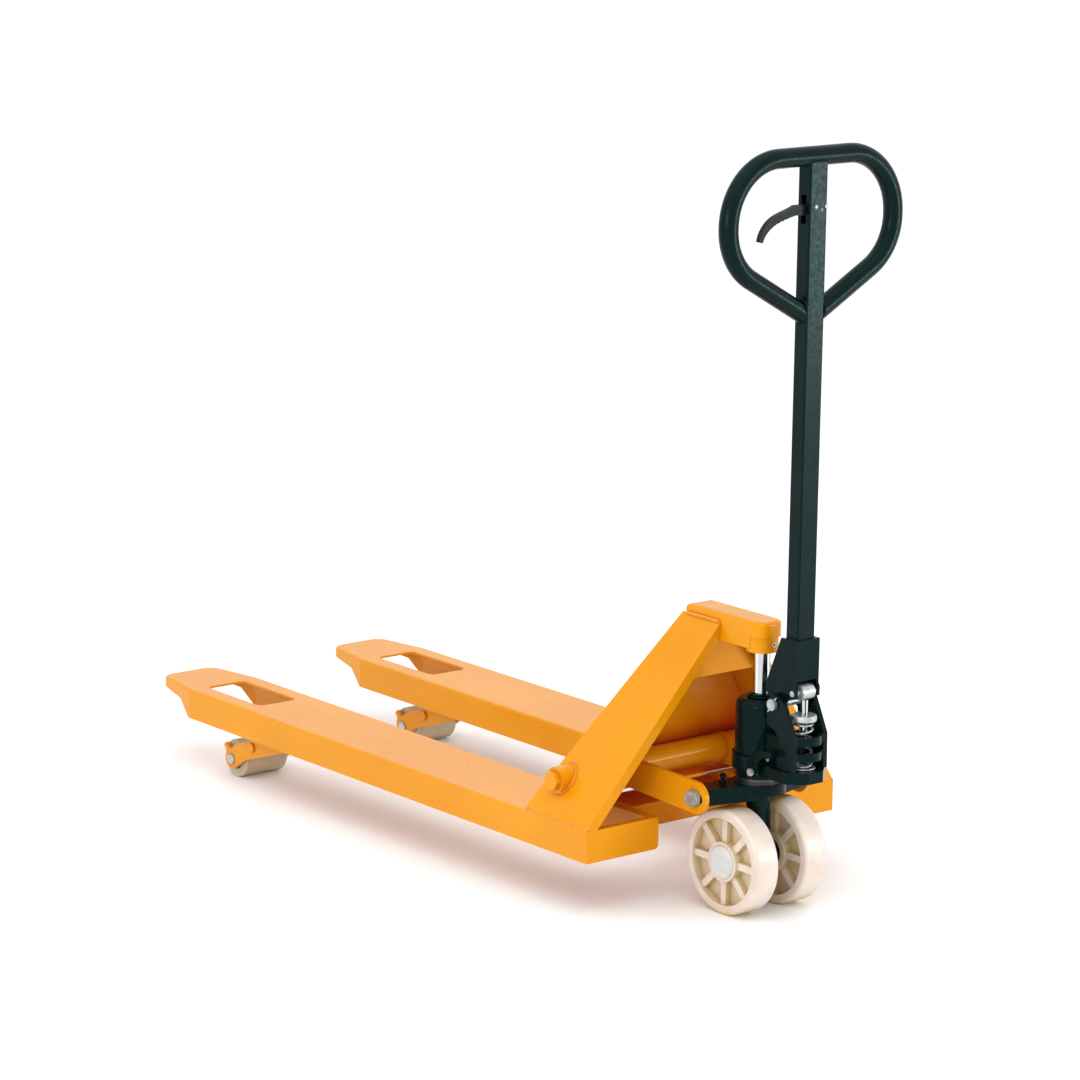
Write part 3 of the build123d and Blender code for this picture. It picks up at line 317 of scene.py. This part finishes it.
def bearing_steel():
    s = Shader("bearing_steel")
    base = s.mix(s.band(s.noise(90.0), 0.3, 0.7), (0.045, 0.047, 0.047), (0.10, 0.10, 0.095))
    base = s.mix(s.band(s.noise(160.0, 4.0), 0.58, 0.72, 0.0, 0.6), base, (0.03, 0.026, 0.02))
    s.set(Base_Color=base, Metallic=0.9, Roughness=s.band(s.noise(260.0), 0.3, 0.7, 0.3, 0.55))
    s.set(Normal=s.bump(s.noise(480.0), 0.15, 0.0004))
    return s.material


# Two copies of the orange enamel: the second has far deeper and redder painted shade in its hollows, for plates
# that sit in shade
ORANGE = orange_paint("orange_enamel", 0.30, (0.50, 0.085, 0.002))
PAINTED_SHADE_ORANGE = orange_paint("painted_shade_orange_enamel", 0.97, (0.60, 0.038, 0.003))
WELD = weld_paint()
ENAMEL = black_enamel()
CASTING = black_enamel("black_casting", 210.0, 0.30, 0.20, 0.10)
CHROME = chrome()
ZINC = zinc_steel()
NYLON = wheel_nylon()
ROLLER = roller_nylon()
CAP = cap_plastic()
GRIP = grip_plastic()
BRASS = brass()
BEARING = bearing_steel()

# The finish made here for each of the imported model's material slots
FINISHES = {
    "orange_paint": ORANGE, "black_paint": ENAMEL, "chrome": CHROME, "zinc_steel": ZINC,
    "cream_nylon": NYLON, "tan_nylon": ROLLER, "white_plastic": CAP, "black_plastic": GRIP,
}
CAST_NODES = (
    "pump_base", "reservoir", "pump_cheeks", "thrust_plate", "release_lever", "stop_stud", "handle_bracket",
)
BEARING_NODES = (
    "left_wheel_bearings", "right_wheel_bearings", "left_roller_bearings", "right_roller_bearings",
    "thrust_bearing", "grip_pin",
)
# Nodes given the orange copy with deeper painted shade
SHADED_NODES = ("front_plate", "rear_crossplate")

# How far sharp edges are rounded
FINE_EDGE = 0.0008
EDGE = {
    "left_steer_wheel": 0.0016, "right_steer_wheel": 0.0016, "left_leg": 0.0018, "right_leg": 0.0018,
    "left_fork": 0.0012, "right_fork": 0.0012, "left_fork_heel": 0.0022, "right_fork_heel": 0.0022,
    "rocker_arms": 0.0014, "pump_base": 0.0018, "pump_cheeks": 0.0014, "thrust_plate": 0.0022,
    "lift_head": 0.0014,
}
UNROUNDED_NODES = ("pivot_split_pin", "pull_rod")
SHARP = math.radians(38)


def soften(obj, width):
    """Rounds an object's sharp edges a little and keeps its curved faces smooth."""
    rim = obj.modifiers.new("edges", "BEVEL")
    rim.width = width
    rim.segments = 2
    rim.limit_method = "ANGLE"
    rim.angle_limit = SHARP
    rim.harden_normals = False
    for face in obj.data.polygons:
        face.use_smooth = True
    normals = obj.modifiers.new("normals", "WEIGHTED_NORMAL")
    normals.keep_sharp = True


def dress_cad_nodes():
    """Gives each CAD node its finish and softer edges."""
    slots = {row["node"]: row["material_slot"] for row in frame["record"]["subparts"]}
    for name, obj in nodes.items():
        finish = FINISHES[slots[name]]
        if name in CAST_NODES:
            finish = CASTING
        if name in BEARING_NODES:
            finish = BEARING
        if name in SHADED_NODES:
            finish = PAINTED_SHADE_ORANGE
        obj.data.materials.clear()
        obj.data.materials.append(finish)
        if name not in UNROUNDED_NODES:
            soften(obj, EDGE.get(name, FINE_EDGE))


# ---------------------------------------------------------------- mesh pieces
def finish_piece(name, mesh_data, material, body):
    """Turns a bmesh into an object that rides on a body."""
    bmesh.ops.recalc_face_normals(mesh_data, faces=mesh_data.faces)
    mesh = bpy.data.meshes.new(name)
    mesh_data.to_mesh(mesh)
    mesh_data.free()
    mesh.materials.append(material)
    for face in mesh.polygons:
        face.use_smooth = True
    obj = bpy.data.objects.new(name, mesh)
    bpy.context.scene.collection.objects.link(obj)
    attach(obj, body)
    return obj


def turned(name, profile, centre, axis, material, body, steps=48):
    """Solid of revolution: profile points are (distance along the axis, radius)."""
    data = bmesh.new()
    turn = Z.rotation_difference(axis)
    rings = []
    for along, radius in profile:
        ring = []
        for k in range(steps if radius > 0 else 1):
            angle = 2 * math.pi * k / steps
            local = Vector((radius * math.cos(angle), radius * math.sin(angle), along))
            ring.append(data.verts.new(centre + turn @ local))
        rings.append(ring)
    for first, second in zip(rings, rings[1:]):
        bridge(data, first, second)
    return finish_piece(name, data, material, body)


def bridge(data, first, second):
    """Faces between two rings, either of which may be a single point."""
    steps = max(len(first), len(second))
    for k in range(steps):
        after = (k + 1) % steps
        corners = [first[k % len(first)], first[after % len(first)]]
        corners += [second[after % len(second)], second[k % len(second)]]
        unique = list(dict.fromkeys(corners))
        if len(unique) > 2:
            data.faces.new(unique)


def swept(name, points, radii, material, body, steps):
    """Closed round bar through points, with a radius at each."""
    data = bmesh.new()
    rings = []
    side = None
    for k, point in enumerate(points):
        before = points[max(k - 1, 0)]
        after = points[min(k + 1, len(points) - 1)]
        along = (after - before).normalized()
        if side is None:
            side = along.orthogonal().normalized()
        side = (side - along * side.dot(along)).normalized()
        other = along.cross(side)
        ring = []
        for step in range(steps):
            angle = 2 * math.pi * step / steps
            spot = side * math.cos(angle) + other * math.sin(angle)
            ring.append(data.verts.new(point + spot * radii[k]))
        rings.append(ring)
    for first, second in zip(rings, rings[1:]):
        bridge(data, first, second)
    data.faces.new(rings[0])
    data.faces.new(list(reversed(rings[-1])))
    return finish_piece(name, data, material, body)


def spread(corners, spacing):
    """Points at an even spacing along straight runs."""
    points = []
    for start, end in zip(corners, corners[1:]):
        count = max(1, round((end - start).length / spacing))
        points += [start.lerp(end, k / count) for k in range(count)]
    return points + [corners[-1]]


# Spacing of a bead's sections, as a share of its radius, and how many of them make one swell
RIPPLE_SPACING = 0.22
STEPS_A_SWELL = 9


def weld(name, corners, radius, material, body, seed):
    """Bead with the ripples and unevenness of a hand weld, thin at its ends."""
    ripple = random.Random(seed)
    points = spread(corners, radius * RIPPLE_SPACING)
    radii = []
    swell = 1.0
    for k in range(len(points)):
        if k % STEPS_A_SWELL == 0:
            swell = ripple.uniform(0.86, 1.14)
        wave = 0.86 + 0.14 * abs(math.sin(2 * math.pi * k / STEPS_A_SWELL))
        taper = min(1.0, 0.35 + min(k, len(points) - 1 - k) * 0.12)
        radii.append(radius * wave * taper * swell)
    shaken = [p + Vector([ripple.uniform(-1, 1) * radius * 0.05 for _ in range(3)]) for p in points]
    return swept(name, shaken, radii, material, body, 10)


# ---------------------------------------------------------------- welds
# Distances ahead of the steering axis
LEG_REAR, LEG_FRONT = 0.114, 0.280
HEAD_REAR, HEAD_FRONT = 0.074, 0.158
CROSS_REAR, CROSS_FRONT = 0.187, 0.262
BRACKET_REAR, BRACKET_FRONT = -0.104, -0.078

HEAD_HALF = high("lift_head").x
LEG_SLOPE = (HALF - HEAD_HALF) / (LEG_TOP - FORK_TOP)
INNER = high("rear_crossplate").x
BOSS_RIM = 0.0222
# How far the beads along a leg stand in from the fork's side
OUTER_BEAD, INNER_BEAD = 0.0034, 0.0092

LOOP_R = 0.016
LOOP_TOP = high("hand_loop").z - LOOP_R
LIMB_Z = low("hand_loop").z + 0.0225
LIMB_SIDE = 0.0196
LIMB_RIM = (0.0158, 0.018)
RIM_STEPS = 28


def ahead(distance, x=0.0, z=0.0):
    """Point this far ahead of the steering axis."""
    return Vector((x, STEER.y + distance, z))


def run(rear, front, x, z):
    """Straight run along the truck, between two distances ahead of the steering axis."""
    return [ahead(rear, x, z), ahead(front, x, z)]


def loop_of(count, spot):
    """Closed run of points, where spot gives the point at an angle."""
    return [spot(2 * math.pi * k / count) for k in range(count + 1)]


def frame_welds():
    """Beads along the legs, the lift head, the cross plate and round the trunnion bosses."""
    for side, tag in SIDES:
        outer = side * (HALF - OUTER_BEAD)
        inner = side * (HALF - INNER_BEAD)
        corner = ahead(LEG_REAR + 0.001, outer, FORK_TOP + 0.0008)
        crown = side * (HEAD_HALF + 0.0012)

        def boss_rim(angle, side=side):
            z = ROCKER.z + BOSS_RIM * math.sin(angle)
            x = side * (HALF - (z - FORK_TOP) * LEG_SLOPE + 0.0006)
            return Vector((x, ROCKER.y + BOSS_RIM * math.cos(angle), z))

        seams = (
            ("leg_outer", run(LEG_REAR + 0.002, LEG_FRONT - 0.002, outer, FORK_TOP + 0.0013), 0.0032, 11),
            ("leg_inner", run(LEG_REAR + 0.010, LEG_FRONT - 0.003, inner, FORK_TOP + 0.0004), 0.0034, 21),
            ("leg_rear", [corner, corner - side * 0.018 * X], 0.0028, 31),
            ("leg_head", run(HEAD_REAR, HEAD_FRONT, crown, LEG_TOP - 0.0004), 0.0036, 41),
            ("crossplate", run(CROSS_REAR, CROSS_FRONT, side * INNER, FORK_TOP - 0.0006), 0.0030, 51),
            ("boss", loop_of(RIM_STEPS, boss_rim), 0.0028, 61),
        )
        for seam, corners, radius, seed in seams:
            weld(f"{tag}_{seam}_weld", corners, radius, WELD, "fork_frame", seed + side)


def handle_welds():
    """Beads where the hand loop and the bracket meet the tube."""
    for side, tag in SIDES:
        def limb_rim(angle, side=side):
            y = TUBE.y + LIMB_RIM[0] * math.cos(angle)
            return Vector((side * LIMB_SIDE, y, LIMB_Z + LIMB_RIM[1] * math.sin(angle)))

        weld(f"{tag}_limb_weld", loop_of(RIM_STEPS, limb_rim), 0.0022, ENAMEL, "handle", 71 + side)
        joint = run(BRACKET_REAR, BRACKET_FRONT, side * 0.0203, high("handle_bracket").z - 0.0008)
        weld(f"{tag}_bracket_weld", joint, 0.0026, ENAMEL, "handle", 81 + side)
    for hand in (-1, 1):
        y = TUBE.y + hand * TUBE_HALF_Y
        seam = [Vector((-0.018, y, LOOP_TOP - 0.0072)), Vector((0.018, y, LOOP_TOP - 0.0072))]
        weld(f"top_weld_{hand + 1}", seam, 0.0020, ENAMEL, "handle", 91 + hand)
        bend = [under_loop(hand * 0.0193, step / 4 * TUBE_HALF_Y * 0.86) for step in range(-4, 5)]
        weld(f"top_side_weld_{hand + 1}", bend, 0.0018, ENAMEL, "handle", 96 + hand)


def under_loop(x, across):
    """Point on the underside of the hand loop's top bar."""
    return Vector((x, TUBE.y + across, LOOP_TOP - math.sqrt(LOOP_R**2 - across**2)))


# ---------------------------------------------------------------- plunger spring
SPRING_LOW = 0.2650
SPRING_HIGH = low("spring_cap").z - 0.0030
SPRING_TURNS = 5
COIL_R = 0.0145
WIRE = 0.0021
CLOSED_TURNS = 0.7
STEPS_A_TURN = 30


def coil_point(k):
    """Middle of the wire after k steps: flat at both ends, with an even pitch between them."""
    angle = 2 * math.pi * k / STEPS_A_TURN
    open_turns = SPRING_TURNS - 2 * CLOSED_TURNS
    share = min(1.0, max(0.0, (k / STEPS_A_TURN - CLOSED_TURNS) / open_turns))
    lift = SPRING_LOW + WIRE + (SPRING_HIGH - SPRING_LOW - 2 * WIRE) * share
    return Vector((COIL_R * math.cos(angle), PLUNGER.y + COIL_R * math.sin(angle), lift))


def plunger_spring():
    """Coil round the plunger, in place of the imported spring, which is hidden."""
    points = [coil_point(k) for k in range(SPRING_TURNS * STEPS_A_TURN + 1)]
    coil = swept("spring_coil", points, [WIRE] * len(points), ZINC, "steering", 12)
    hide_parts("plunger_spring")
    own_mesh(coil)


# ---------------------------------------------------------------- small parts
# Profiles of turned pieces: (distance along the axis, radius)
WIPER_RING = ((0, 0.0146), (0, 0.0196), (0.0022, 0.0196), (0.0034, 0.0184), (0.0034, 0.0150), (0, 0.0146))
NECK_BEAD = ((0, 0.0205), (0, 0.0222), (0.0016, 0.0230), (0.0032, 0.0222), (0.0032, 0.0205), (0, 0.0205))
SPRING_SEAT = (
    (0, 0.0130), (0, 0.0208), (0.0008, 0.0214), (0.0022, 0.0214), (0.0028, 0.0208), (0.0028, 0.0130),
    (0, 0.0130),
)
VALVE_PLUG = (
    (0, 0.0), (0, 0.0040), (0.0160, 0.0040), (0.0172, 0.0050), (0.0206, 0.0050), (0.0220, 0.0036),
    (0.0224, 0.0),
)
CHEEK_SCREW = ((0, 0.0), (0, 0.0040), (0.0016, 0.0040), (0.0028, 0.0026), (0.0030, 0.0))
RIVET = ((0, 0.0), (0, 0.0034), (0.0009, 0.0034), (0.0014, 0.0024), (0.0015, 0.0))
TOOTH = ((0, 0.0), (0, 0.0020), (0.0074, 0.0020), (0.0074, 0.0))

NECK_BEAD_DROP = 0.0038
CHEEK_FACE = 0.0295
# Ahead of the steering axis, and z
CHEEK_SCREW_AT = (-0.053, 0.269)
SPRING_SEAT_Z = 0.2622
VALVE_PLUG_FOOT = ahead(-0.0765, 0.0005, 0.3116)
# Rivets on the tube's face: x and z
RIVETS = ((-0.0058, 1.1856), (0.0158, 1.1852))
# Teeth of the grip lever: distance out from the tube's middle, and drop under the lever's pin
SERRATIONS = (
    (0.0560, 0.0098), (0.0650, 0.0122), (0.0740, 0.0149),
    (0.0830, 0.0184), (0.0910, 0.0232), (0.0980, 0.0284),
)


def small_parts():
    """Rings, screws, rivets and teeth that stand on the CAD nodes."""
    top = high("reservoir").z
    turned("ram_wiper_ring", WIPER_RING, Vector((0, STEER.y, top)), Z, CASTING, "steering")
    neck = Vector((0, STEER.y, top - NECK_BEAD_DROP))
    turned("reservoir_neck_bead", NECK_BEAD, neck, Z, CASTING, "steering")
    turned("spring_seat", SPRING_SEAT, Vector((0, PLUNGER.y, SPRING_SEAT_Z)), Z, ZINC, "steering")
    turned("valve_plug", VALVE_PLUG, VALVE_PLUG_FOOT, Z, BRASS, "steering", steps=24)
    for side, tag in SIDES:
        face = ahead(CHEEK_SCREW_AT[0], side * CHEEK_FACE, CHEEK_SCREW_AT[1])
        turned(f"{tag}_cheek_screw", CHEEK_SCREW, face, side * X, ZINC, "steering", steps=24)
    for index, (x, z) in enumerate(RIVETS):
        place = Vector((x, TUBE.y - TUBE_HALF_Y - 0.0003, z))
        turned(f"tube_rivet_{index}", RIVET, place, -Y, ZINC, "handle", steps=24)
    grip = pivot("grip_squeeze")
    for index, (out, drop) in enumerate(SERRATIONS):
        place = Vector((-out, middle("grip_lever").y + 0.0037, grip.z - drop))
        turned(f"grip_tooth_{index}", TOOTH, place, -Y, GRIP, "grip_lever", steps=16)


dress_cad_nodes()
frame_welds()
handle_welds()
plunger_spring()
small_parts()


# ---------------------------------------------------------------- studio
WORLD_LIGHT = 1.12
FLOOR_REACH = 40.0
# Name, place, target, size and watts
SOFT_BOXES = (
    ("top_light", (-1.2, -1.0, 4.2), (0, 0, 0.1), (5.0, 5.0), 60),
    ("rear_light", (2.2, -3.4, 0.75), (0, -0.7, 0.9), (1.2, 0.8), 32),
    ("side_light", (-5.0, -2.6, 1.8), (0, 0, 0.2), (2.4, 1.6), 60),
)
CAMERA_PLACE = (-4.3836, STEER.y - 4.8311, 2.0403)
AZIMUTH, ELEVATION, ROLL = map(math.radians, (-39.204, 12.547, 0.862))
LENS = 135.8
SHIFT = (-0.0140, 0.0163)


def studio():
    """White room, pale floor and three soft boxes."""
    scene = bpy.context.scene
    scene.view_settings.view_transform = "Standard"
    world = bpy.data.worlds.new("studio")
    world.use_nodes = True
    scene.world = world
    back = world.node_tree.nodes["Background"]
    back.inputs["Color"].default_value = (1.0, 1.0, 1.0, 1.0)
    back.inputs["Strength"].default_value = WORLD_LIGHT
    floor = bpy.data.meshes.new("floor")
    corners = [(x * FLOOR_REACH, y * FLOOR_REACH, 0) for x, y in ((-1, -1), (1, -1), (1, 1), (-1, 1))]
    floor.from_pydata(corners, [], [(0, 1, 2, 3)])
    ground = bpy.data.objects.new("floor", floor)
    scene.collection.objects.link(ground)
    s = Shader("pale_floor")
    s.set(Base_Color=s.mix(s.noise(0.6), (0.93, 0.93, 0.93), (0.95, 0.95, 0.95)), Roughness=0.9)
    s.set(Specular_IOR_Level=0.1)
    floor.materials.append(s.material)
    for name, place, target, size, power in SOFT_BOXES:
        soft_box(name, Vector(place), Vector(target), size, power)


def soft_box(name, place, target, size, power):
    light = bpy.data.lights.new(name, "AREA")
    light.shape = "RECTANGLE"
    light.size, light.size_y = size
    light.energy = power
    obj = bpy.data.objects.new(name, light)
    obj.location = place
    obj.rotation_mode = "QUATERNION"
    obj.rotation_quaternion = (target - place).to_track_quat("-Z", "Y")
    bpy.context.scene.collection.objects.link(obj)


def camera():
    """Long lens from the steered end, a little rolled."""
    data = bpy.data.cameras.new("camera")
    data.sensor_width = 36.0
    data.lens = LENS
    data.shift_x, data.shift_y = SHIFT
    data.clip_end = 100.0
    obj = bpy.data.objects.new("camera", data)
    flat = math.cos(ELEVATION)
    back = Vector((math.sin(AZIMUTH) * flat, -math.cos(AZIMUTH) * flat, math.sin(ELEVATION)))
    right = (-back).cross(Z).normalized()
    up = right.cross(-back)
    tilted = math.cos(ROLL) * right + math.sin(ROLL) * up
    upright = math.cos(ROLL) * up - math.sin(ROLL) * right
    turn = Matrix((tilted, upright, back)).transposed().to_4x4()
    obj.matrix_world = Matrix.Translation(CAMERA_PLACE) @ turn
    bpy.context.scene.collection.objects.link(obj)
    bpy.context.scene.camera = obj


studio()
camera()
